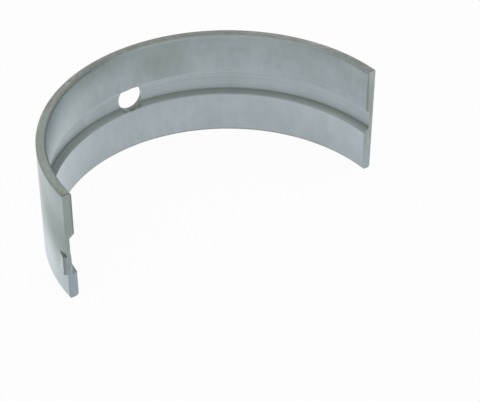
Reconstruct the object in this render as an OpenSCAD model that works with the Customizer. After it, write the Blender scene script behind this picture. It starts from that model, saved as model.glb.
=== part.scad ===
// Engine bearing shell: one half of a split plain bearing for an engine's main journal.
// The origin is on the journal axis at mid-width. +Z runs along the journal, so the shell stands on a rim.
// The parting plane is y = 0, the crown is on +Y and the locating tang is at the end on -X.

/* [Shell] */
// Outside diameter, the housing bore that the back seats in
back_d = 120; // [100:1:150]
// Thickness of the wall between back and bore
wall_t = 3.2; // [2.9:0.1:5]
// Width along the journal, from rim to rim
shell_w = 40; // [38:1:60]
// Chamfer where the bore meets a rim
rim_in = 0.8; // [0.4:0.1:1.2]
// Chamfer where the back meets a rim
rim_out = 0.5; // [0.2:0.1:1]
// Bevel where the bore meets a parting face
end_break = 0.2; // [0.1:0.1:0.8]

/* [Oil feed] */
// Width of the oil groove at the bore, before the edges of its mouth are broken
groove_w = 9; // [7:0.5:11]
// Depth of the oil groove below the bore
groove_deep = 1.85; // [1:0.05:2.2]
// How far each groove wall leans in between its mouth and its floor
groove_lean = 1.3; // [0.4:0.1:2]
// Bevel that breaks the edges of the groove's mouth
groove_lip = 0.35; // [0.1:0.05:0.6]
// Diameter of the oil hole through the groove
hole_d = 9.4; // [5:0.2:14]
// Angle of the oil hole round the shell, from the plain end
hole_at = 90; // [45:1:135]

/* [Locating tang] */
// Width of the tang along the journal
tang_w = 6.9; // [4:0.1:8]
// How far the tang's middle lies below mid-width
tang_drop = 7.15; // [6:0.05:12]
// How far the tang's outer edge stands out of the back
tang_out = 1.1; // [0.6:0.1:2]
// How far the tang's outer edge lies behind the parting plane, so that its end slants
tang_back = 0.9; // [0.2:0.1:1.5]
// Length of the tang round the back, where it fades out
tang_run = 5.2; // [3:0.1:8]
// Depth of the pressed hollow inside the tang at the parting face
hollow_deep = 1.7; // [0.8:0.1:1.8]
// How far the hollow's lower wall lies below mid-width at the parting face
hollow_drop = 10.6; // [9:0.1:14]
// How far the hollow's lower wall rises between the parting face and its faded end
hollow_rise = 1.8; // [0.4:0.1:2.5]
// Length of the hollow round the bore, where it fades out
hollow_run = 6.4; // [3:0.1:9]

/* [Hidden] */
// Radius of the back
back_r = back_d / 2;
// Radius of the bore
bore_r = back_r - wall_t;
// Radius of the groove floor
floor_r = bore_r + groove_deep;
// Height of a rim above mid-width
rim_z = shell_w / 2;
// Height of the groove's mouth and of its floor above mid-width
mouth_z = groove_w / 2;
floor_z = mouth_z - groove_lean;
// Height above mid-width at which the lip's bevel meets the groove wall
lip_z = mouth_z - groove_lean * groove_lip / groove_deep;
// Height of the tang's lower side
tang_lo = -tang_drop - tang_w / 2;
// Overlap that carries a cut clear of a face
over = 1;

// Section of the strip: chamfered rims and the oil groove in the bore, as (radius, height)
module strip_section() {
  polygon([
    [bore_r + rim_in, -rim_z],
    [back_r - rim_out, -rim_z],
    [back_r, rim_out - rim_z],
    [back_r, rim_z - rim_out],
    [back_r - rim_out, rim_z],
    [bore_r + rim_in, rim_z],
    [bore_r, rim_z - rim_in],
    [bore_r, mouth_z + groove_lip],
    [bore_r + groove_lip, lip_z],
    [floor_r, floor_z],
    [floor_r, -floor_z],
    [bore_r + groove_lip, -lip_z],
    [bore_r, -mouth_z - groove_lip],
    [bore_r, rim_in - rim_z]
  ]);
}

// The strip turned through half a circle, with both parting faces in the plane y = 0
module half_strip() {
  rotate_extrude(angle = 180, $fn = 180) strip_section();
}

// Wedge pressed out of the back at the end on -X: it has a slanting end and fades out round the back
module tang_lug() {
  fade_x = sqrt(back_r * back_r - tang_run * tang_run);
  root_x = back_r - wall_t / 2;
  translate([0, 0, tang_lo])
    linear_extrude(height = tang_w)
      polygon([
        [-back_r - tang_out, tang_back],
        [-back_r, 0],
        [-root_x, 0],
        [-root_x, tang_run / 2],
        [-fade_x, tang_run]
      ]);
}

// Hollow that the press leaves in the bore: it fades out round the bore and opens into the groove
module tang_hollow() {
  fade_x = sqrt(bore_r * bore_r - hollow_run * hollow_run);
  slope = (bore_r + hollow_deep - fade_x) / hollow_run;
  climb = hollow_rise / hollow_run;
  reach = hollow_run + over;
  intersection() {
    translate([0, 0, -rim_z])
      linear_extrude(height = shell_w)
        polygon([
          [-bore_r - hollow_deep - slope * over, -over],
          [-fade_x + slope * over, reach],
          [-bore_r + 4 * over, reach],
          [-bore_r + 4 * over, -over]
        ]);
    translate([-back_r, 0, 0])
      rotate([90, 0, 90])
        linear_extrude(height = wall_t + 4 * over)
          polygon([
            [-over, -hollow_drop - climb * over],
            [reach, -hollow_drop + climb * reach],
            [reach, -floor_z],
            [-over, -floor_z]
          ]);
  }
}

// Round oil hole, drilled radially through the middle of the groove
module oil_hole() {
  rotate([0, 0, hole_at])
    translate([bore_r - 2 * over, 0, 0])
      rotate([0, 90, 0])
        cylinder(h = wall_t + 4 * over, d = hole_d, $fn = 96);
}

// Bevel along the bore's edge at the parting face on +X
module end_bevel() {
  translate([0, 0, -rim_z - over])
    linear_extrude(height = shell_w + 2 * over)
      polygon([
        [bore_r - over, -over],
        [bore_r + end_break + over, -over],
        [bore_r - over, end_break + over]
      ]);
}

// The finished shell: strip and tang, less the hollow, the oil hole and both end bevels
module shell() {
  color([0.61, 0.655, 0.675])
    difference() {
      union() {
        half_strip();
        tang_lug();
      }
      tang_hollow();
      oil_hole();
      end_bevel();
      mirror([1, 0, 0]) end_bevel();
    }
}

shell();
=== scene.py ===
# %% [markdown]
# # An engine bearing shell
# A bearing shell is half of a plain bearing. It is a strip of bonded metal, bent to half a circle,
# fine-bored inside and flashed with tin, and the crankshaft turns in a film of oil against it.
# The imported CAD model is loaded first, because every piece of this scene has to stay where the CAD
# says.

# %% The fixed frame
import math

import bmesh
import bpy
from mathutils import Matrix, Vector


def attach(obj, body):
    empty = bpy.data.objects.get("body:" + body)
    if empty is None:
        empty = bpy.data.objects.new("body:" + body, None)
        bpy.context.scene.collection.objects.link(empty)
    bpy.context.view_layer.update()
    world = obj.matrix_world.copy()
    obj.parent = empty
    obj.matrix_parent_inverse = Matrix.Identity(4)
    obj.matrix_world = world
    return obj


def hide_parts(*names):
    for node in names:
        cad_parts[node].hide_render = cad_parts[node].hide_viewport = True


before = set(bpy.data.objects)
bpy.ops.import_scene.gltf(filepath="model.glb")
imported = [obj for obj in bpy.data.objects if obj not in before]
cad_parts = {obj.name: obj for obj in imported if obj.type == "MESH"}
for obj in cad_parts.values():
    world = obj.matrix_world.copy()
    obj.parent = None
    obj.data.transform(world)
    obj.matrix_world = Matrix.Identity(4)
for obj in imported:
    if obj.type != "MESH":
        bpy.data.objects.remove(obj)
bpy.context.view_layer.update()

MM = 0.001

# %% [markdown]
# ## The camera
# The camera could be placed by eye, but a long lens from above flattens a ring in a way that is hard
# to guess. Here its place, its aim and its small tilt come from a fit of the ring's edges, so the
# curves of the render fall on the curves of the photograph. A long lens keeps the two ends alike.

# %% Camera
CAMERA_AT = Vector((-0.23016, -0.32589, 0.29791))
CAMERA_AIM = Vector((0.01203, 0.01000, -0.02000))
CAMERA_TILT = math.radians(0.287)
LENS_MM = 116.33
SENSOR_MM = 36.0
NEAREST_M = 0.01

camera_data = bpy.data.cameras.new("camera")
camera_data.sensor_fit = "HORIZONTAL"
camera_data.sensor_width = SENSOR_MM
camera_data.lens = LENS_MM
camera_data.clip_start = NEAREST_M
camera = bpy.data.objects.new("camera", camera_data)
bpy.context.scene.collection.objects.link(camera)
look = (CAMERA_AIM - CAMERA_AT).to_track_quat("-Z", "Y").to_matrix().to_4x4()
camera.matrix_world = Matrix.Translation(CAMERA_AT) @ look @ Matrix.Rotation(CAMERA_TILT, 4, "Z")
bpy.context.scene.camera = camera
print("camera to aim in mm", round((CAMERA_AIM - CAMERA_AT).length / MM, 1))

# %% [markdown]
# ## The section of the strip
# Cut the shell across and it shows a thin wall with chamfered rims and an oil groove in the bore.
# The outline is listed corner by corner as depth from the bore and height above mid-width, in
# millimetres, with the rounding of each corner. Real edges are never quite sharp, and a rounding of
# a few tenths catches the light as a thin line. A Bevel modifier could round them later, but on the
# plain outline it is simpler and stays even all the way round.

# %% Section corners
BORE_R = 56.8
WALL = 3.2
BACK_R = BORE_R + WALL
RIM_Z = 20.0
RIM_IN = 0.8
RIM_OUT = 0.5
GROOVE_DEEP = 1.85
MOUTH_Z = 4.5
FLOOR_Z = 3.2
# Each corner has its depth, its height and its rounding
CORNERS = [
    (RIM_IN, -RIM_Z, 0.7),
    (WALL - RIM_OUT, -RIM_Z, 0.6),
    (WALL, RIM_OUT - RIM_Z, 0.6),
    (WALL, RIM_Z - RIM_OUT, 0.6),
    (WALL - RIM_OUT, RIM_Z, 0.6),
    (RIM_IN, RIM_Z, 0.4),
    (0.0, RIM_Z - RIM_IN, 0.4),
    (0.0, MOUTH_Z, 0.3),
    (GROOVE_DEEP, FLOOR_Z, 0.15),
    (GROOVE_DEEP, -FLOOR_Z, 0.15),
    (0.0, -MOUTH_Z, 0.7),
    (0.0, RIM_IN - RIM_Z, 0.7),
]
print("section has", len(CORNERS), "corners")

# %% [markdown]
# A corner's arc is found from the two sides that meet there: its middle lies on the line that halves
# the corner. Long sides get points in between, so that no face of the strip becomes too long and thin.

# %% Rounded outline
CORNER_STEPS = 3
LONGEST_SIDE = 3.0


def round_corners(corners):
    """Points of the outline, with a short arc in place of each corner."""
    points = []
    for at, (depth, height, rounding) in enumerate(corners):
        here = Vector((depth, height))
        back = (Vector(corners[at - 1][:2]) - here).normalized()
        on = (Vector(corners[(at + 1) % len(corners)][:2]) - here).normalized()
        half = back.angle(on) / 2
        turn = math.pi - 2 * half
        middle = here + (back + on).normalized() * (rounding / math.sin(half))
        first = here + back * (rounding / math.tan(half)) - middle
        last = here + on * (rounding / math.tan(half)) - middle
        for step in range(CORNER_STEPS + 1):
            share = step / CORNER_STEPS
            arm = first * math.sin((1 - share) * turn) + last * math.sin(share * turn)
            points.append(middle + arm / math.sin(turn))
    return points


def fill_sides(points):
    """The same closed outline with points added, so that no side is longer than LONGEST_SIDE."""
    filled = []
    for at, point in enumerate(points):
        gap = points[(at + 1) % len(points)] - point
        pieces = math.ceil(gap.length / LONGEST_SIDE)
        filled += [point + gap * (piece / pieces) for piece in range(pieces)]
    return filled


outline = fill_sides(round_corners(CORNERS))
section = bmesh.new()
section.faces.new([section.verts.new((point.x * MM, 0, point.y * MM)) for point in outline])
section_mesh = bpy.data.meshes.new("strip_section")
section.to_mesh(section_mesh)
section.free()
print("section outline has", len(outline), "points")

# %% [markdown]
# ## Turning the section through half a circle
# The main form follows one rule: every point of the section goes round the journal axis by 180
# degrees. The Spin tool or a Screw modifier could do it. A Geometry Nodes tree says the rule openly:
# a grid has one row of points for each step round, each point looks up its place in the section by
# its index, and the row's angle turns it. Two copies of the section's face close the ends. The
# helper below adds a node, sets its properties and fills its inputs with values or links.

# %% Node helper and the tree's inputs
def add_node(tree, kind, settings=None, inputs=None):
    """Adds a node: settings are its own properties, inputs are values or the sockets that feed it."""
    node = tree.nodes.new(kind)
    for name, value in (settings or {}).items():
        setattr(node, name, value)
    for name, value in (inputs or {}).items():
        if isinstance(value, bpy.types.NodeSocket):
            tree.links.new(value, node.inputs[name])
        else:
            node.inputs[name].default_value = value
    return node.outputs[0] if len(node.outputs) == 1 else node


turning = bpy.data.node_groups.new("turn_the_section", "GeometryNodeTree")
turning.is_modifier = True
socket_of = {}
for name, kind in [
    ("Section", "NodeSocketGeometry"),
    ("Bore Radius", "NodeSocketFloat"),
    ("Span", "NodeSocketFloat"),
    ("Steps", "NodeSocketInt"),
    ("Metal", "NodeSocketMaterial"),
]:
    socket_of[name] = turning.interface.new_socket(name, in_out="INPUT", socket_type=kind).identifier
turning.interface.new_socket("Strip", in_out="OUTPUT", socket_type="NodeSocketGeometry")
given = turning.nodes.new("NodeGroupInput").outputs
print("turning tree takes", ", ".join(socket_of))

# %% [markdown]
# First each point of the grid finds its row and its place in the section. A row has one point more
# than the section, and that last point falls on the first again, so the wall closes round the section.

# %% Rows of section points
MATH = "ShaderNodeMath"

counted = add_node(turning, "GeometryNodeAttributeDomainSize", None, {0: given["Section"]})
points = counted.outputs["Point Count"]
row_length = add_node(turning, MATH, {"operation": "ADD"}, {0: points, 1: 1.0})
rows = add_node(turning, MATH, {"operation": "ADD"}, {0: given["Steps"], 1: 1.0})
grid = add_node(turning, "GeometryNodeMeshGrid", None, {"Vertices X": rows, "Vertices Y": row_length})
index = add_node(turning, "GeometryNodeInputIndex")
over_row = add_node(turning, MATH, {"operation": "DIVIDE"}, {0: index, 1: row_length})
row = add_node(turning, MATH, {"operation": "FLOOR"}, {0: over_row})
in_row = add_node(turning, MATH, {"operation": "MODULO"}, {0: index, 1: row_length})
corner = add_node(turning, MATH, {"operation": "MODULO"}, {0: in_row, 1: points})
position = add_node(turning, "GeometryNodeInputPosition")
place = add_node(
    turning,
    "GeometryNodeSampleIndex",
    {"data_type": "FLOAT_VECTOR"},
    {"Geometry": given["Section"], "Value": position, "Index": corner},
)
place = add_node(turning, "ShaderNodeSeparateXYZ", None, {0: place}).outputs
print("rows take", len(turning.nodes), "nodes")

# %% [markdown]
# Then each row goes round by its share of the half circle. The section's depth is added to the bore's
# radius, cosine and sine place the point round the axis, and its height stays.

# %% Rows turned round the axis
radius = add_node(turning, MATH, {"operation": "ADD"}, {0: place["X"], 1: given["Bore Radius"]})
share = add_node(turning, MATH, {"operation": "DIVIDE"}, {0: row, 1: given["Steps"]})
angle = add_node(turning, MATH, {"operation": "MULTIPLY"}, {0: share, 1: given["Span"]})
cosine = add_node(turning, MATH, {"operation": "COSINE"}, {0: angle})
sine = add_node(turning, MATH, {"operation": "SINE"}, {0: angle})
across = add_node(turning, MATH, {"operation": "MULTIPLY"}, {0: radius, 1: cosine})
along = add_node(turning, MATH, {"operation": "MULTIPLY"}, {0: radius, 1: sine})
turned = add_node(turning, "ShaderNodeCombineXYZ", None, {"X": across, "Y": along, "Z": place["Z"]})
wall = add_node(
    turning, "GeometryNodeSetPosition", None, {"Geometry": grid.outputs["Mesh"], "Position": turned}
)
print("rows and turn take", len(turning.nodes), "nodes")

# %% [markdown]
# Last the strip is closed. One copy of the section's face stands at the start of the turn and one at
# its end, and points that lie on each other are welded, so that the wall and both ends are one skin.

# %% Ends, weld and metal
# Points closer than this, in millimetres, count as one
SAME_POINT = 0.001

to_bore = add_node(turning, "ShaderNodeCombineXYZ", None, {"X": given["Bore Radius"]})
first_end = add_node(
    turning, "GeometryNodeTransform", None, {"Geometry": given["Section"], "Translation": to_bore}
)
half_turn = add_node(turning, "ShaderNodeCombineXYZ", None, {"Z": given["Span"]})
last_end = add_node(turning, "GeometryNodeTransform", None, {"Geometry": first_end, "Rotation": half_turn})
joined = turning.nodes.new("GeometryNodeJoinGeometry")
for part in (last_end, first_end, wall):
    turning.links.new(part, joined.inputs[0])
welded = add_node(
    turning,
    "GeometryNodeMergeByDistance",
    None,
    {"Geometry": joined.outputs[0], "Distance": SAME_POINT * MM},
)
real = add_node(turning, "GeometryNodeRealizeInstances", None, {"Geometry": welded})
dressed = add_node(
    turning, "GeometryNodeSetMaterial", None, {"Geometry": real, "Material": given["Metal"]}
)
turning.links.new(dressed, turning.nodes.new("NodeGroupOutput").inputs[0])
print("whole turning tree has", len(turning.nodes), "nodes")

# %% [markdown]
# The tree runs as a modifier on the section. Its inputs are set by identifier before anything is
# evaluated. 240 steps put a facet every 0.75 degrees, fine enough for a smooth edge line. The result
# is copied to a plain mesh, because cuts and exports work on plain meshes.

# %% The half-round strip
STEPS = 240

# The strip starts out in the lining's material, which gets its nodes further down
metal = bpy.data.materials.new("fine_bored_tin_lining")
shell = bpy.data.objects.new("shell_strip", section_mesh)
bpy.context.scene.collection.objects.link(shell)
turn = shell.modifiers.new("turn", "NODES")
turn.node_group = turning
turn[socket_of["Bore Radius"]] = BORE_R * MM
turn[socket_of["Span"]] = math.pi
turn[socket_of["Steps"]] = STEPS
turn[socket_of["Metal"]] = metal


def make_plain(piece):
    """Turns what the piece's modifiers show into its own plain mesh."""
    seen = piece.evaluated_get(bpy.context.evaluated_depsgraph_get())
    mesh = bpy.data.meshes.new_from_object(seen)
    piece.modifiers.clear()
    piece.data = mesh


def open_edges(mesh):
    """How many edges of a mesh don't have exactly two faces: none on a closed solid."""
    work = bmesh.new()
    work.from_mesh(mesh)
    count = sum(1 for edge in work.edges if len(edge.link_faces) != 2)
    work.free()
    return count


make_plain(shell)
print("strip has", len(shell.data.polygons), "faces and", open_edges(shell.data), "open edges")

# %% [markdown]
# ## Breaking the ends
# Where the wall is cut off at the parting plane, the real edge is broken with a file or a brush so
# that it doesn't scratch the housing. Only the two rings of end edges are picked, by their place in
# the plane y = 0, and bevelled by about a tenth of a millimetre. The faces are first made to point
# outwards, because the two ends came from the same face.

# %% Edge helper and end edges
EDGE_BREAK = 0.12
EDGE_STEPS = 2
ROUND_PROFILE = 0.5


def round_edges(mesh, picked, offset):
    """Rounds the edges whose two points are both picked by their place in mm, and counts them."""
    work = bmesh.new()
    work.from_mesh(mesh)
    bmesh.ops.recalc_face_normals(work, faces=work.faces)
    edges = [edge for edge in work.edges if all(picked(vert.co / MM) for vert in edge.verts)]
    bmesh.ops.bevel(
        work,
        geom=edges,
        offset=offset * MM,
        segments=EDGE_STEPS,
        profile=ROUND_PROFILE,
        affect="EDGES",
    )
    work.to_mesh(mesh)
    work.free()
    return len(edges)


end_edges = round_edges(shell.data, lambda spot: abs(spot.y) < SAME_POINT, EDGE_BREAK)
print("broke", end_edges, "end edges;", open_edges(shell.data), "open edges")

# %% [markdown]
# ## Tools for joining and cutting
# The tang, the hollow, the hole and the bevels are each a simple closed solid that is joined to the
# strip or taken away from it. One helper puts a skin round a row of outlines, and a second one uses
# the solid in an exact Boolean, which keeps the strip closed where a quick one can leave gaps.

# %% Solid and Boolean helpers
def solid_through(name, outlines):
    """A closed solid through outlines of the same number of points, given in millimetres."""
    work = bmesh.new()
    rings = [[work.verts.new(Vector(point) * MM) for point in ring] for ring in outlines]
    work.faces.new(rings[0])
    work.faces.new(rings[-1])
    for near, far in zip(rings, rings[1:]):
        for at in range(len(near)):
            work.faces.new([near[at - 1], near[at], far[at], far[at - 1]])
    bmesh.ops.recalc_face_normals(work, faces=work.faces)
    mesh = bpy.data.meshes.new(name)
    work.to_mesh(mesh)
    work.free()
    made = bpy.data.objects.new(name, mesh)
    bpy.context.scene.collection.objects.link(made)
    return made


def upright(outline, low, high):
    """A flat outline of across and along, at a lowest and a highest height."""
    return [[(across, along, height) for across, along in outline] for height in (low, high)]


def boolean(body, tool, operation):
    """Joins a tool's shape to the body, or cuts it away, and deletes the tool."""
    step = body.modifiers.new(operation.lower(), "BOOLEAN")
    step.operation = operation
    step.solver = "EXACT"
    step.object = tool
    make_plain(body)
    bpy.data.objects.remove(tool)
    print(operation.lower(), "done;", open_edges(body.data), "open edges")


print("before joining and cutting, the strip has", len(shell.data.polygons), "faces")

# %% [markdown]
# ## The locating tang
# A press pushes a small wedge out of the back at one end. It drops into a notch in the housing, so
# the shell can't go in the wrong way round or turn. The press bends it out, so its end slants back
# from the parting plane, and it fades out round the back. The wedge is drawn as an outline with a
# height, its free edges are rounded, and the Boolean joins it to the wall as one skin.

# %% Tang
TANG_LOW = -10.6
TANG_HIGH = -3.7
TANG_OUT = 1.1
TANG_BACK = 0.9
TANG_RUN = 5.2
TANG_EDGE = 0.15
# How far inside the back the slanting end starts, so that the two skins cross cleanly
TANG_SEAT = 0.05

tang_root = BACK_R - WALL / 2
tang_fade = math.sqrt(BACK_R**2 - TANG_RUN**2)
tang_outline = [
    (-BACK_R - TANG_OUT, TANG_BACK),
    (-BACK_R + TANG_SEAT, 0.0),
    (-tang_root, 0.0),
    (-tang_root, TANG_RUN / 2),
    (-tang_fade, TANG_RUN),
]
tang = solid_through("tang", upright(tang_outline, TANG_LOW, TANG_HIGH))
tang_edges = round_edges(tang.data, lambda spot: spot.x < SAME_POINT - tang_fade, TANG_EDGE)
print("rounded", tang_edges, "tang edges")
boolean(shell, tang, "UNION")

# %% [markdown]
# ## The hollow behind the tang
# The press that raises the tang leaves a hollow in the bore, which fades out round the wall and
# opens into the oil groove. The wall's points could be pushed in one by one, but a cut gives clean
# edges: a tool that narrows with the distance from the parting plane is taken away.

# %% Hollow behind the tang
HOLLOW_DEEP = 1.7
HOLLOW_LOW = -10.6
HOLLOW_RISE = 1.8
HOLLOW_RUN = 6.4
# How far a cutting tool reaches past the faces that it cuts
CLEAR = 1.0

hollow_fade = math.sqrt(BORE_R**2 - HOLLOW_RUN**2)
hollow_slope = (BORE_R + HOLLOW_DEEP - hollow_fade) / HOLLOW_RUN


def hollow_outline(along):
    """The hollow's outline across the wall at one distance from the parting plane."""
    inner = BORE_R - 4 * CLEAR
    outer = BORE_R + HOLLOW_DEEP - hollow_slope * along
    lower = HOLLOW_LOW + HOLLOW_RISE * along / HOLLOW_RUN
    return [
        (-inner, along, lower),
        (-inner, along, -FLOOR_Z),
        (-outer, along, -FLOOR_Z),
        (-outer, along, lower),
    ]


hollow = solid_through("hollow", [hollow_outline(-CLEAR), hollow_outline(HOLLOW_RUN + CLEAR)])
print("hollow fades out", HOLLOW_RUN, "mm from the parting plane")
boolean(shell, hollow, "DIFFERENCE")

# %% [markdown]
# ## The oil hole
# At the crown an oil hole is drilled through the groove, and its rim at the back is countersunk, so
# that no burr lifts the shell off its housing. A plain cylinder would cut the hole alone. A drill of
# three rings, the last one wider, cuts the hole and the countersink in one step.

# %% Oil hole
HOLE_R = 4.7
HOLE_SIDES = 144
SINK = 0.25


def hole_ring(along, radius):
    """One ring of the drill: half a step of turn keeps its points off the strip's middle rows."""
    angles = [2 * math.pi * (side + 0.5) / HOLE_SIDES for side in range(HOLE_SIDES)]
    return [(radius * math.cos(angle), along, radius * math.sin(angle)) for angle in angles]


drill_rings = [
    hole_ring(BORE_R - 2 * CLEAR, HOLE_R),
    hole_ring(BACK_R - SINK, HOLE_R),
    hole_ring(BACK_R + 2 * CLEAR, HOLE_R + SINK + 2 * CLEAR),
]
print("oil hole is", 2 * HOLE_R, "mm wide")
boolean(shell, solid_through("drill", drill_rings), "DIFFERENCE")

# %% [markdown]
# ## The bevels at the parting faces
# Along each parting face the bore's edge is bevelled, so that it can't scrape the oil film off the
# journal where two halves meet. A Bevel modifier would round the groove and the hollow there as
# well, so a long wedge is taken away at each end instead.

# %% Bevels along the parting faces
END_BEVEL = 0.2

for side in (1, -1):
    wedge = [
        (side * (BORE_R - CLEAR), -CLEAR),
        (side * (BORE_R + END_BEVEL + CLEAR), -CLEAR),
        (side * (BORE_R - CLEAR), END_BEVEL + CLEAR),
    ]
    bevel = solid_through("end_bevel", upright(wedge, -RIM_Z - CLEAR, RIM_Z + CLEAR))
    print("end bevel is", END_BEVEL, "mm on side", side)
    boolean(shell, bevel, "DIFFERENCE")

# %% [markdown]
# ## Smooth where it is round
# Curved walls are shaded smooth and true corners stay sharp, by the angle between faces. Weighted
# normals let the large faces rule, so a thin rounding doesn't bend the shading of the flat beside it.

# %% Shading
SHARP_FROM = math.radians(28)
# Slivers that the cuts leave are welded below this size, in millimetres
SLIVER = 0.0005

work = bmesh.new()
work.from_mesh(shell.data)
bmesh.ops.remove_doubles(work, verts=work.verts, dist=SLIVER * MM)
bmesh.ops.dissolve_degenerate(work, edges=work.edges, dist=SLIVER * MM)
bmesh.ops.recalc_face_normals(work, faces=work.faces)
work.to_mesh(shell.data)
work.free()
shell.data.shade_smooth()
shell.data.set_sharp_from_angle(angle=SHARP_FROM)
weigh = shell.modifiers.new("weigh", "WEIGHTED_NORMAL")
weigh.keep_sharp = True
make_plain(shell)
shell.data.name = "shell_strip"
print("shell has", len(shell.data.polygons), "faces and", open_edges(shell.data), "open edges")

# %% [markdown]
# ## Colours and the turned coordinates
# Colours are written as sRGB hex values, as a paint program shows them, and one function turns them
# into the linear values that Blender mixes light with. The marks on the shell run round it or along
# it, so the patterns need arc length and height instead of x and y. A small node group works them
# out, in millimetres, from Object coordinates. Arc is zero at the crown and negative towards the
# tang, height is zero at mid-width, side is the height without its sign, and radius is measured
# from the journal axis.

# %% Colour helper and coordinates
COORDINATES = ("Arc", "Height", "Side", "Radius")


def linear(code):
    """Linear colour of an sRGB hex value such as 9BA7AC, by the curve of the sRGB standard."""
    colour = []
    for at in (0, 2, 4):
        part = int(code[at : at + 2], 16) / 255
        colour.append(part / 12.92 if part <= 0.04045 else ((part + 0.055) / 1.055) ** 2.4)
    return colour + [1.0]


wrap = bpy.data.node_groups.new("turned_coordinates", "ShaderNodeTree")
for name in COORDINATES:
    wrap.interface.new_socket(name, in_out="OUTPUT", socket_type="NodeSocketFloat")
spot = add_node(wrap, "ShaderNodeTexCoord").outputs["Object"]
spot = add_node(wrap, "ShaderNodeVectorMath", {"operation": "SCALE"}, {0: spot, "Scale": 1 / MM})
spot = add_node(wrap, "ShaderNodeSeparateXYZ", None, {0: spot.outputs["Vector"]}).outputs
turn_angle = add_node(wrap, MATH, {"operation": "ARCTAN2"}, {0: spot["X"], 1: spot["Y"]})
arc = add_node(wrap, MATH, {"operation": "MULTIPLY"}, {0: turn_angle, 1: BORE_R})
flat_spot = add_node(wrap, "ShaderNodeCombineXYZ", None, {"X": spot["X"], "Y": spot["Y"]})
reach = add_node(wrap, "ShaderNodeVectorMath", {"operation": "LENGTH"}, {0: flat_spot}).outputs["Value"]
side = add_node(wrap, MATH, {"operation": "ABSOLUTE"}, {0: spot["Z"]})
add_node(wrap, "NodeGroupOutput", None, {"Arc": arc, "Height": spot["Z"], "Side": side, "Radius": reach})
print("turned coordinates have", len(wrap.nodes), "nodes")

# %% [markdown]
# Machining leaves marks that run one way: round the bore, round a rim, along a cut. One noise, divided
# by a different size in each direction, draws them all: long and thin for tool marks, wide in every
# direction for clouds in the tin.

# %% Group for machining marks
GROUP = "ShaderNodeGroup"
NOISE_DETAIL = 2.0
# The noise seldom leaves this range, so it is stretched from here to the full range of 0 to 1
NOISE_LOW = 0.3
NOISE_HIGH = 0.7

marks = bpy.data.node_groups.new("machining_marks", "ShaderNodeTree")
for name in ("Arc Size", "Height Size", "Depth Size"):
    marks.interface.new_socket(name, in_out="INPUT", socket_type="NodeSocketFloat")
marks.interface.new_socket("Share", in_out="OUTPUT", socket_type="NodeSocketFloat")
given = marks.nodes.new("NodeGroupInput").outputs
place = add_node(marks, GROUP, {"node_tree": wrap}).outputs
across = add_node(marks, MATH, {"operation": "DIVIDE"}, {0: place["Arc"], 1: given["Arc Size"]})
up = add_node(marks, MATH, {"operation": "DIVIDE"}, {0: place["Height"], 1: given["Height Size"]})
deep = add_node(marks, MATH, {"operation": "DIVIDE"}, {0: place["Radius"], 1: given["Depth Size"]})
spot = add_node(marks, "ShaderNodeCombineXYZ", None, {"X": across, "Y": up, "Z": deep})
grain = add_node(
    marks, "ShaderNodeTexNoise", None, {"Vector": spot, "Scale": 1.0, "Detail": NOISE_DETAIL}
)
share = add_node(
    marks,
    "ShaderNodeMapRange",
    None,
    {"Value": grain.outputs["Fac"], "From Min": NOISE_LOW, "From Max": NOISE_HIGH},
)
add_node(marks, "NodeGroupOutput", None, {"Share": share.outputs["Result"]})
print("marks group has", len(marks.nodes), "nodes")

# %% [markdown]
# A second small group gives a soft band: it is 1 where a coordinate has the middle value and falls
# smoothly to 0 at the reach on either side. Painted shade in a corner and a painted highlight on a lip
# are such bands.

# %% Group for soft bands
band = bpy.data.node_groups.new("soft_band", "ShaderNodeTree")
for name in ("Value", "Middle", "Reach"):
    band.interface.new_socket(name, in_out="INPUT", socket_type="NodeSocketFloat")
band.interface.new_socket("Share", in_out="OUTPUT", socket_type="NodeSocketFloat")
given = band.nodes.new("NodeGroupInput").outputs
apart = add_node(band, MATH, {"operation": "SUBTRACT"}, {0: given["Value"], 1: given["Middle"]})
apart = add_node(band, MATH, {"operation": "ABSOLUTE"}, {0: apart})
near = add_node(
    band,
    "ShaderNodeMapRange",
    {"interpolation_type": "SMOOTHSTEP"},
    {"Value": apart, "From Min": 0.0, "From Max": given["Reach"], "To Min": 1.0, "To Max": 0.0},
)
add_node(band, "NodeGroupOutput", None, {"Share": near.outputs["Result"]})
print("band group has", len(band.nodes), "nodes")

# %% [markdown]
# ## Seven finishes on one strip
# Every surface of the shell is metal, but each was made in another way, and that is what tells them
# apart. The layers of marks are added up by weight, and the sum chooses a colour between a dull and a
# bright shade of the metal and makes the bright places a little smoother.

# %% Starting a finish
MIX = "ShaderNodeMix"
# The Mix node numbers its sockets over every type of data, and these are the ones that a colour uses
MIX_SHARE = 0
MIX_FROM = 6
MIX_TO = 7
MIX_OUT = 2


def layer_marks(tree, layers):
    """Adds up layers of marks: each has its arc, height and depth sizes in millimetres and its weight."""
    total = 0.0
    for arc_size, height_size, depth_size, weight in layers:
        sizes = {"Arc Size": arc_size, "Height Size": height_size, "Depth Size": depth_size}
        layer = add_node(tree, GROUP, {"node_tree": marks}, sizes)
        total = add_node(tree, MATH, {"operation": "MULTIPLY_ADD"}, {0: layer, 1: weight, 2: total})
    return total


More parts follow.
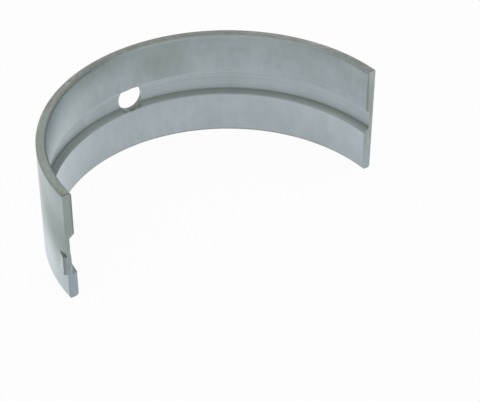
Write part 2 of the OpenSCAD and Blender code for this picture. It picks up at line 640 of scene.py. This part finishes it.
def start_finish(name, layers, dull, bright, rough, relief):
    """A metal with layered marks: rough is for dull and bright places, relief is a height in mm."""
    finish = bpy.data.materials.get(name) or bpy.data.materials.new(name)
    finish.use_nodes = True
    tree = finish.node_tree
    tree.nodes.clear()
    total = layer_marks(tree, layers)
    shades = {MIX_SHARE: total, MIX_FROM: linear(dull), MIX_TO: linear(bright)}
    shade = add_node(tree, MIX, {"data_type": "RGBA"}, shades)
    gloss_range = {"Value": total, "To Min": rough[0], "To Max": rough[1]}
    gloss = add_node(tree, "ShaderNodeMapRange", None, gloss_range)
    raised = add_node(tree, "ShaderNodeBump", None, {"Height": total, "Distance": relief * MM})
    surface = {
        "Base Color": shade.outputs[MIX_OUT],
        "Metallic": 1.0,
        "Roughness": gloss.outputs["Result"],
        "Normal": raised,
    }
    coat = add_node(tree, "ShaderNodeBsdfPrincipled", None, surface)
    add_node(tree, "ShaderNodeOutputMaterial", None, {"Surface": coat})
    return finish


print("finishes are built from", wrap.name, "and", marks.name)

# %% [markdown]
# A stain then tints the finish softly where one or more bands overlap: a cloud in the tin, or painted
# light such as painted shade in a corner or a painted highlight on a lip. Each one lies over those
# before it, so their order matters. A picture could be painted instead, but bands stay smooth at any
# size and can be moved by one number.

# %% Stains and painted light on a finish
def stain_or_paint_light(finish, colour, strength, bands):
    """Tints a finish, as a stain or as painted light, where all the bands overlap: each is a coordinate,
    its middle and its reach in mm.
    """
    tree = finish.node_tree
    place = add_node(tree, GROUP, {"node_tree": wrap}).outputs
    share = strength
    for name, middle, reach in bands:
        near = {"Value": place[name], "Middle": middle, "Reach": reach}
        here = add_node(tree, GROUP, {"node_tree": band}, near)
        share = add_node(tree, MATH, {"operation": "MULTIPLY"}, {0: here, 1: share})
    base = tree.nodes["Principled BSDF"].inputs["Base Color"]
    tint = {MIX_SHARE: share, MIX_FROM: base.links[0].from_socket, MIX_TO: linear(colour)}
    after = add_node(tree, MIX, {"data_type": "RGBA"}, tint)
    tree.links.new(after.outputs[MIX_OUT], base)


print("stains are built from", band.name, "and follow", ", ".join(COORDINATES))

# %% [markdown]
# The lining is a soft bearing metal, bored to size with a fine single-point tool and flashed with tin.
# It is the smoothest surface here: satin, cool grey, with cloudy patches where the tin is thicker and
# short soft streaks along the journal. The boring lines are really about 0.1 mm apart. They are drawn
# 0.8 mm apart, because finer ones wouldn't show at this size.

# %% Lining
# The layers are clouds, patches, short streaks and boring lines
lining = start_finish(
    "fine_bored_tin_lining",
    layers=[
        (22.0, 16.0, 20.0, 0.35),
        (6.5, 8.5, 20.0, 0.25),
        (2.2, 6.0, 20.0, 0.25),
        (80.0, 0.8, 20.0, 0.15),
    ],
    dull="929C9F",
    bright="ABB5BA",
    rough=(0.32, 0.27),
    relief=0.001,
)
# Painted shade towards the upper rim, painted light below the groove, and a painted reflection towards the
# tang
stain_or_paint_light(lining, "7F8B8B", 0.35, [("Height", 22.0, 15.0)])
stain_or_paint_light(lining, "BAC4C9", 0.3, [("Height", -9.0, 16.0)])
stain_or_paint_light(lining, "DAE9ED", 0.5, [("Arc", -55.0, 45.0), ("Height", 8.0, 28.0)])
# Near the plain end, painted reflections make it paler below the groove and in the upper corner, and
# greyer between
stain_or_paint_light(lining, "C4CED2", 0.22, [("Arc", 82.0, 36.0), ("Height", -6.0, 12.0)])
stain_or_paint_light(lining, "C0CACE", 0.3, [("Arc", 86.0, 16.0), ("Height", 18.0, 6.0)])
stain_or_paint_light(lining, "828D90", 0.25, [("Arc", 86.0, 16.0), ("Height", 9.0, 5.0)])
# Two dull clouds above the groove, one on each side of the crown, are painted reflections of darker
# surroundings
stain_or_paint_light(lining, "7B867F", 0.45, [("Arc", 13.0, 16.0), ("Height", 11.0, 14.0)])
stain_or_paint_light(lining, "78847B", 0.5, [("Arc", -14.0, 24.0), ("Height", 20.0, 9.0)])
print("lining has", len(lining.node_tree.nodes), "nodes")

# %% [markdown]
# The groove is turned with a form tool after boring, so fine lines run round it, and faint streaks
# cross it. The lines are really about 0.1 mm apart and are drawn 0.6 mm apart, so that they show.
# Its floor is darker towards the lower corner and its lower wall is darker, as painted shade, with a
# dark line in the corner. The upper wall and lip have a painted highlight, and so has the lower lip at
# the plain end.

# %% Groove
UPPER_LIP = ("Height", MOUTH_Z - 0.15, 0.5)

# The layers are clouds, streaks across the groove and turning lines
groove = start_finish(
    "form_turned_groove",
    layers=[(20.0, 30.0, 20.0, 0.45), (5.0, 70.0, 20.0, 0.25), (60.0, 0.6, 0.6, 0.3)],
    dull="98A2A5",
    bright="ADB7BC",
    rough=(0.36, 0.30),
    relief=0.002,
)
# The floor is paler above, darker below as painted shade, and brighter towards the tang as a painted
# reflection
stain_or_paint_light(groove, "BCC6CA", 0.2, [("Height", 2.4, 1.4)])
stain_or_paint_light(groove, "8A9392", 0.55, [("Height", -FLOOR_Z, 3.4)])
stain_or_paint_light(groove, "BEC8CC", 0.5, [("Arc", -48.0, 38.0), ("Height", 2.0, 5.0)])
# The lower wall is painted a darker grey, and the corner above it darker still, as painted shade, darker
# again towards the tang
stain_or_paint_light(groove, "8F9896", 0.7, [("Height", -FLOOR_Z - 0.55, 0.6)])
stain_or_paint_light(groove, "788180", 0.85, [("Height", -FLOOR_Z + 0.05, 0.55)])
stain_or_paint_light(groove, "6E7776", 0.6, [("Height", -FLOOR_Z - 0.7, 0.7), ("Arc", -40.0, 24.0)])
# The lower lip has a painted highlight at the plain end, and a grey cloud lies on the floor before it
stain_or_paint_light(groove, "AEB6B7", 0.7, [("Height", -MOUTH_Z, 0.9), ("Arc", 80.0, 34.0)])
stain_or_paint_light(groove, "868F93", 0.25, [("Height", 1.5, 5.0), ("Arc", 36.0, 34.0)])
# The upper wall and lip have a painted highlight, most of all round the crown and less towards the tang
stain_or_paint_light(groove, "E8EEF0", 0.9, [("Height", 3.8, 0.75)])
stain_or_paint_light(groove, "CAD3D6", 1.0, [UPPER_LIP])
stain_or_paint_light(groove, "F2F6F7", 0.8, [("Height", MOUTH_Z - 0.05, 0.3), ("Arc", 5.0, 55.0)])
stain_or_paint_light(groove, "ACB5B8", 0.8, [UPPER_LIP, ("Arc", -45.0, 44.0)])
print("groove has", len(groove.node_tree.nodes), "nodes")

# %% [markdown]
# The rims are faced on a lathe and show the steel of the strip, duller and a little olive beside the
# tin. The facing lines are really about 0.15 mm apart and are drawn 0.4 mm apart, so that they show.
# Towards the tang the rims are paler and greener, and the upper one has a dark outer edge of painted
# shade there. Its chamfer at the bore carries painted highlight and painted shade: bright at the crown,
# greyer at the plain end and dark towards the tang.

# %% Rims
UPPER_CHAMFER = [("Radius", BORE_R, 1.1), ("Height", RIM_Z, 3.0)]
UPPER_OUTER_EDGE = [("Radius", BACK_R, 0.8), ("Height", RIM_Z, 3.0)]

# The layers are clouds, short marks across the rim and facing lines
rim = start_finish(
    "faced_steel_rim",
    layers=[(16.0, 8.0, 6.0, 0.3), (2.2, 8.0, 0.9, 0.45), (40.0, 1.0, 0.4, 0.25)],
    dull="7C817C",
    bright="B2B6B3",
    rough=(0.42, 0.34),
    relief=0.002,
)
# Duller past the crown, paler and greener towards the tang
stain_or_paint_light(rim, "757A78", 0.35, [("Arc", 18.0, 50.0)])
stain_or_paint_light(rim, "A5B0A8", 0.5, [("Arc", -72.0, 20.0)])
stain_or_paint_light(rim, "9BAA9F", 0.5, [("Arc", -54.0, 18.0)])
# The upper rim's dark outer edge towards the tang is painted shade
stain_or_paint_light(rim, "666D68", 0.65, UPPER_OUTER_EDGE + [("Arc", -72.0, 34.0)])
# The chamfer's painted highlight and painted shade: bright, greyer at the plain end, dark towards the tang
stain_or_paint_light(rim, "BAC3C6", 0.6, UPPER_CHAMFER)
stain_or_paint_light(rim, "8E9492", 0.8, UPPER_CHAMFER + [("Arc", 84.0, 34.0)])
stain_or_paint_light(rim, "656C69", 0.7, UPPER_CHAMFER + [("Arc", -20.0, 26.0)])
stain_or_paint_light(rim, "5C6360", 0.95, UPPER_CHAMFER + [("Arc", -48.0, 50.0)])
print("rims have", len(rim.node_tree.nodes), "nodes")

# %% [markdown]
# The parting faces are broached along the journal, and their marks run that way. The marks are really
# finer than 0.1 mm and are drawn 0.4 mm apart, so that they show. The lining is seen as a cooler layer,
# with dark lines of painted shade beside the bore and the back. The slanting end of the tang is greyer,
# the hollow's edge catches the light as a painted highlight, and the edges towards the rims are darker.

# %% Parting faces
PLAIN_END = ("Arc", 89.0, 30.0)
TANG_END = ("Arc", -89.0, 30.0)
HOLLOW_EDGE = ("Radius", BORE_R + HOLLOW_DEEP + 0.15, 0.3)

# The layers are clouds and broaching lines
parting = start_finish(
    "broached_parting_face",
    layers=[(16.0, 9.0, 2.2, 0.6), (30.0, 30.0, 0.4, 0.4)],
    dull="929C96",
    bright="A2ADA9",
    rough=(0.42, 0.34),
    relief=0.002,
)
# The lining's cooler layer, and the broad differences between the two ends
stain_or_paint_light(parting, "929D9F", 0.7, [("Radius", BORE_R + 0.3, 1.4)])
stain_or_paint_light(parting, "8A9491", 0.5, [TANG_END, ("Height", 8.0, 14.0)])
stain_or_paint_light(parting, "9FABAE", 0.8, [("Height", -18.0, 16.0)])
stain_or_paint_light(parting, "98A4AD", 0.9, [("Height", -18.0, 19.0), TANG_END])
stain_or_paint_light(parting, "B0B1B0", 0.65, [("Height", 18.5, 6.0), PLAIN_END])
# Painted shade as dark lines along the back, low down, and along the bore
stain_or_paint_light(parting, "7A868C", 0.8, [("Radius", BACK_R, 0.5), ("Height", -17.0, 9.0)])
stain_or_paint_light(parting, "7C8684", 0.6, [("Radius", BORE_R + 0.7, 1.1), ("Height", 6.0, 10.0), PLAIN_END])
stain_or_paint_light(parting, "757F7D", 0.8, [("Radius", BORE_R + 0.35, 0.55), ("Height", 14.0, 20.0)])
# The wall at the tang, the tang's slanting end and the painted highlight on the hollow's edge
stain_or_paint_light(parting, "818E8E", 0.5, [TANG_END, ("Height", -7.3, 4.2)])
stain_or_paint_light(parting, "838789", 0.9, [("Radius", BACK_R + 0.8, 0.9)])
stain_or_paint_light(parting, "C6CED1", 0.8, [HOLLOW_EDGE, ("Height", -8.4, 2.4)])
# The edges towards the rims, darker
stain_or_paint_light(parting, "62665F", 0.8, [("Side", RIM_Z, 0.45)])
print("parting faces have", len(parting.node_tree.nodes), "nodes")

# %% [markdown]
# The back is the rolled face of the steel strip under the same thin flash of tin. It is brighter than
# the bore and has large soft clouds, a greenish stain above the tang, and faint streaks along the
# journal where it rubbed in its packing. A painted sheen lies towards the lower rim and a painted
# highlight band further round, and the tang's outer face has a painted highlight.

# %% Back
# The layers are clouds, streaks along the journal and fine specks
back = start_finish(
    "rolled_tin_flashed_back",
    layers=[(16.0, 13.0, 20.0, 0.65), (2.5, 45.0, 20.0, 0.25), (1.2, 1.2, 1.2, 0.1)],
    dull="A5B1B2",
    bright="BAC5C8",
    rough=(0.34, 0.26),
    relief=0.002,
)
# A painted sheen towards the lower rim, greyer at the tang's end, and a painted highlight band further
# round
stain_or_paint_light(back, "D2DADF", 0.65, [("Height", -16.0, 22.0)])
stain_or_paint_light(back, "93A0A3", 0.5, [("Arc", -90.0, 18.0)])
stain_or_paint_light(back, "DDE4E6", 0.5, [("Arc", -53.0, 11.0)])
# The greenish stain above the tang
stain_or_paint_light(back, "8A9895", 0.6, [("Arc", -73.0, 9.0), ("Height", 10.0, 10.0)])
stain_or_paint_light(back, "60736B", 0.6, [("Arc", -88.0, 24.0), ("Height", 1.0, 15.0)])
stain_or_paint_light(back, "788783", 0.65, [("Arc", -79.0, 9.0), ("Height", 5.0, 12.0)])
# The tang's outer face, with a painted highlight
stain_or_paint_light(back, "CBD3D5", 0.6, [("Radius", BACK_R + 1.1, 1.0)])
print("back has", len(back.node_tree.nodes), "nodes")

# %% [markdown]
# The tang's sides and the hollow's lower wall were sheared by the press. That cut through the tin, so
# they show bare steel, rough and plain grey. The shear lines are really finer than 0.1 mm and are
# drawn 0.4 mm apart to show at all.

# %% Sheared steel
# The layers are clouds and shear lines
sheared = start_finish(
    "sheared_bare_steel",
    layers=[(5.0, 3.0, 5.0, 0.5), (0.4, 6.0, 0.4, 0.5)],
    dull="757878",
    bright="939594",
    rough=(0.55, 0.45),
    relief=0.008,
)
# The hollow's wall is paler, most of all where it fades out, and the tang's upper side is painted paler as
# painted light against its shade
stain_or_paint_light(sheared, "B4B6BE", 0.7, [("Radius", BORE_R + 0.5, 2.0)])
stain_or_paint_light(sheared, "B4BCC0", 0.85, [("Arc", -84.2, 4.8)])
stain_or_paint_light(sheared, "B0B5B5", 0.8, [("Height", TANG_HIGH, 0.5)])
print("sheared steel has", len(sheared.node_tree.nodes), "nodes")

# %% [markdown]
# The oil hole was drilled after the lining was bonded and flashed with the rest, so its wall is a plain
# grey with fine drilling rings. The rings are really about 0.15 mm apart and are drawn 0.4 mm apart, so
# that they show. The wall is dark at its foot, as painted shade in the recess, and pale towards the
# plain end.

# %% Drilled hole
# The layers are clouds and drilling rings
drilled = start_finish(
    "drilled_and_flashed_hole",
    layers=[(5.0, 4.0, 2.0, 0.5), (8.0, 8.0, 0.4, 0.5)],
    dull="7F8583",
    bright="949A98",
    rough=(0.48, 0.40),
    relief=0.006,
)
# Painted shade at the wall's foot, and a paler wall towards the plain end
stain_or_paint_light(drilled, "5E6362", 0.7, [("Height", -4.9, 1.3), ("Arc", -0.4, 2.8), ("Radius", 58.0, 1.8)])
stain_or_paint_light(drilled, "BCC6C9", 0.75, [("Height", 0.6, 3.4), ("Arc", 4.7, 1.6)])
print("drilled hole has", len(drilled.node_tree.nodes), "nodes")

# %% [markdown]
# Each face takes its finish from where it is and which way it points. Painting masks would also work,
# but the machining already says which face is which: radius, height and the direction of the normal
# are enough.

# %% Finishes to faces
FINISHES = [lining, groove, rim, parting, back, sheared, drilled]
# Shares of a face's normal that tell walls, ends and rims from what they join
HOLE_LEAN = 0.8
PARTING_LEAN = 0.3
TANG_FACE_LEAN = 0.7
HOLLOW_WALL_LEAN = 0.5
RIM_LEAN = 0.08
# Distances in millimetres by which the tang, a rim or a lip reaches past its own size
TANG_PROUD = 0.01
RIM_BAND = 0.3
LIP_BAND = 0.4


def finish_of(face):
    """The finish of one face, from its middle and its normal."""
    middle = face.center / MM
    radius = math.hypot(middle.x, middle.y)
    outward = (face.normal.x * middle.x + face.normal.y * middle.y) / radius
    at_hole = middle.y > 0 and math.hypot(middle.x, middle.z) < HOLE_R + 2 * SINK
    at_hollow = middle.x < 0 and middle.y < HOLLOW_RUN and HOLLOW_LOW < middle.z < -MOUTH_Z
    if at_hole and abs(outward) < HOLE_LEAN:
        return drilled
    if middle.y < TANG_BACK and face.normal.y < -PARTING_LEAN:
        return parting
    if radius > BACK_R + TANG_PROUD:
        return back if outward > TANG_FACE_LEAN else sheared
    if at_hollow and face.normal.z > HOLLOW_WALL_LEAN:
        return sheared
    if abs(middle.z) > RIM_Z - RIM_IN - RIM_BAND and abs(face.normal.z) > RIM_LEAN:
        return rim
    if outward > 0:
        return back
    return groove if abs(middle.z) < MOUTH_Z + LIP_BAND else lining


shell.data.materials.clear()
for finish in FINISHES:
    shell.data.materials.append(finish)
counts = [0] * len(FINISHES)
for face in shell.data.polygons:
    face.material_index = FINISHES.index(finish_of(face))
    counts[face.material_index] += 1
print("faces per finish", dict(zip([finish.name for finish in FINISHES], counts)))

# %% [markdown]
# ## Into the frame
# The piece takes the place of the imported shell and moves with its only body.

# %% Ride and replace
shell.name = "bearing_shell"
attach(shell, "root")
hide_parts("shell")
print("riding", shell.name)

# %% [markdown]
# ## The floor
# The shell stands on a plain white floor. More light could make the floor white, but it would bleach
# the metal too. Instead the floor shows itself white to the camera and to the metal, and a small share
# of its own shading lets a faint soft shadow through.

# %% Floor
FLOOR_HALF = 4.0
# How much of the floor's own shading, and so of the shadow, shows through its white
SHADOW_SHARE = 0.05

floor_mesh = bpy.data.meshes.new("floor")
floor_z = -RIM_Z * MM
floor_mesh.from_pydata(
    [
        (-FLOOR_HALF, -FLOOR_HALF, floor_z),
        (FLOOR_HALF, -FLOOR_HALF, floor_z),
        (FLOOR_HALF, FLOOR_HALF, floor_z),
        (-FLOOR_HALF, FLOOR_HALF, floor_z),
    ],
    [],
    [(0, 1, 2, 3)],
)
floor = bpy.data.objects.new("floor", floor_mesh)
bpy.context.scene.collection.objects.link(floor)
paper = bpy.data.materials.new("white_paper_floor")
paper.use_nodes = True
tree = paper.node_tree
tree.nodes.clear()
path = add_node(tree, "ShaderNodeLightPath").outputs
seen = add_node(tree, MATH, {"operation": "MAXIMUM"}, {0: path["Is Camera Ray"], 1: path["Is Glossy Ray"]})
seen = add_node(tree, MATH, {"operation": "MAXIMUM"}, {0: seen, 1: path["Is Transmission Ray"]})
glow_share = add_node(tree, MATH, {"operation": "MULTIPLY"}, {0: seen, 1: 1 - SHADOW_SHARE})
matt = add_node(tree, "ShaderNodeBsdfDiffuse", None, {"Color": linear("F4F4F4")})
glow = add_node(tree, "ShaderNodeEmission", None, {"Color": linear("FFFFFF"), "Strength": 1.0})
mixed = add_node(tree, "ShaderNodeMixShader", None, {0: glow_share, 1: matt, 2: glow})
add_node(tree, "ShaderNodeOutputMaterial", None, {"Surface": mixed})
floor_mesh.materials.append(paper)
print("floor is", 2 * FLOOR_HALF, "m wide")

# %% [markdown]
# ## The light
# The light comes softly from all round. The sky is white at the horizon and greyer overhead, as in a
# room with white walls and a dim ceiling. Lamps could be added, but metal shows a lamp as a hard spot,
# and a plain sky gives it the even sheen of a light tent.

# %% Sky
# The sky is white up to this height, as the sine of its angle, and greyest straight overhead
FADE_FROM = 0.15
WALL_WHITE = "FFFFFF"
CEILING_GREY = "C8C8C4"

world = bpy.data.worlds.new("soft_room")
bpy.context.scene.world = world
world.use_nodes = True
tree = world.node_tree
tree.nodes.clear()
aim = add_node(tree, "ShaderNodeTexCoord").outputs["Generated"]
up = add_node(tree, "ShaderNodeSeparateXYZ", None, {0: aim}).outputs["Z"]
fade = add_node(tree, "ShaderNodeMapRange", None, {"Value": up, "From Min": FADE_FROM, "From Max": 1.0})
shades = {MIX_SHARE: fade.outputs["Result"], MIX_FROM: linear(WALL_WHITE), MIX_TO: linear(CEILING_GREY)}
room = add_node(tree, MIX, {"data_type": "RGBA"}, shades)
light = add_node(tree, "ShaderNodeBackground", None, {"Color": room.outputs[MIX_OUT], "Strength": 1.0})
add_node(tree, "ShaderNodeOutputWorld", None, {"Surface": light})
bpy.context.scene.view_settings.view_transform = "Standard"
print("sky goes from", WALL_WHITE, "to", CEILING_GREY)
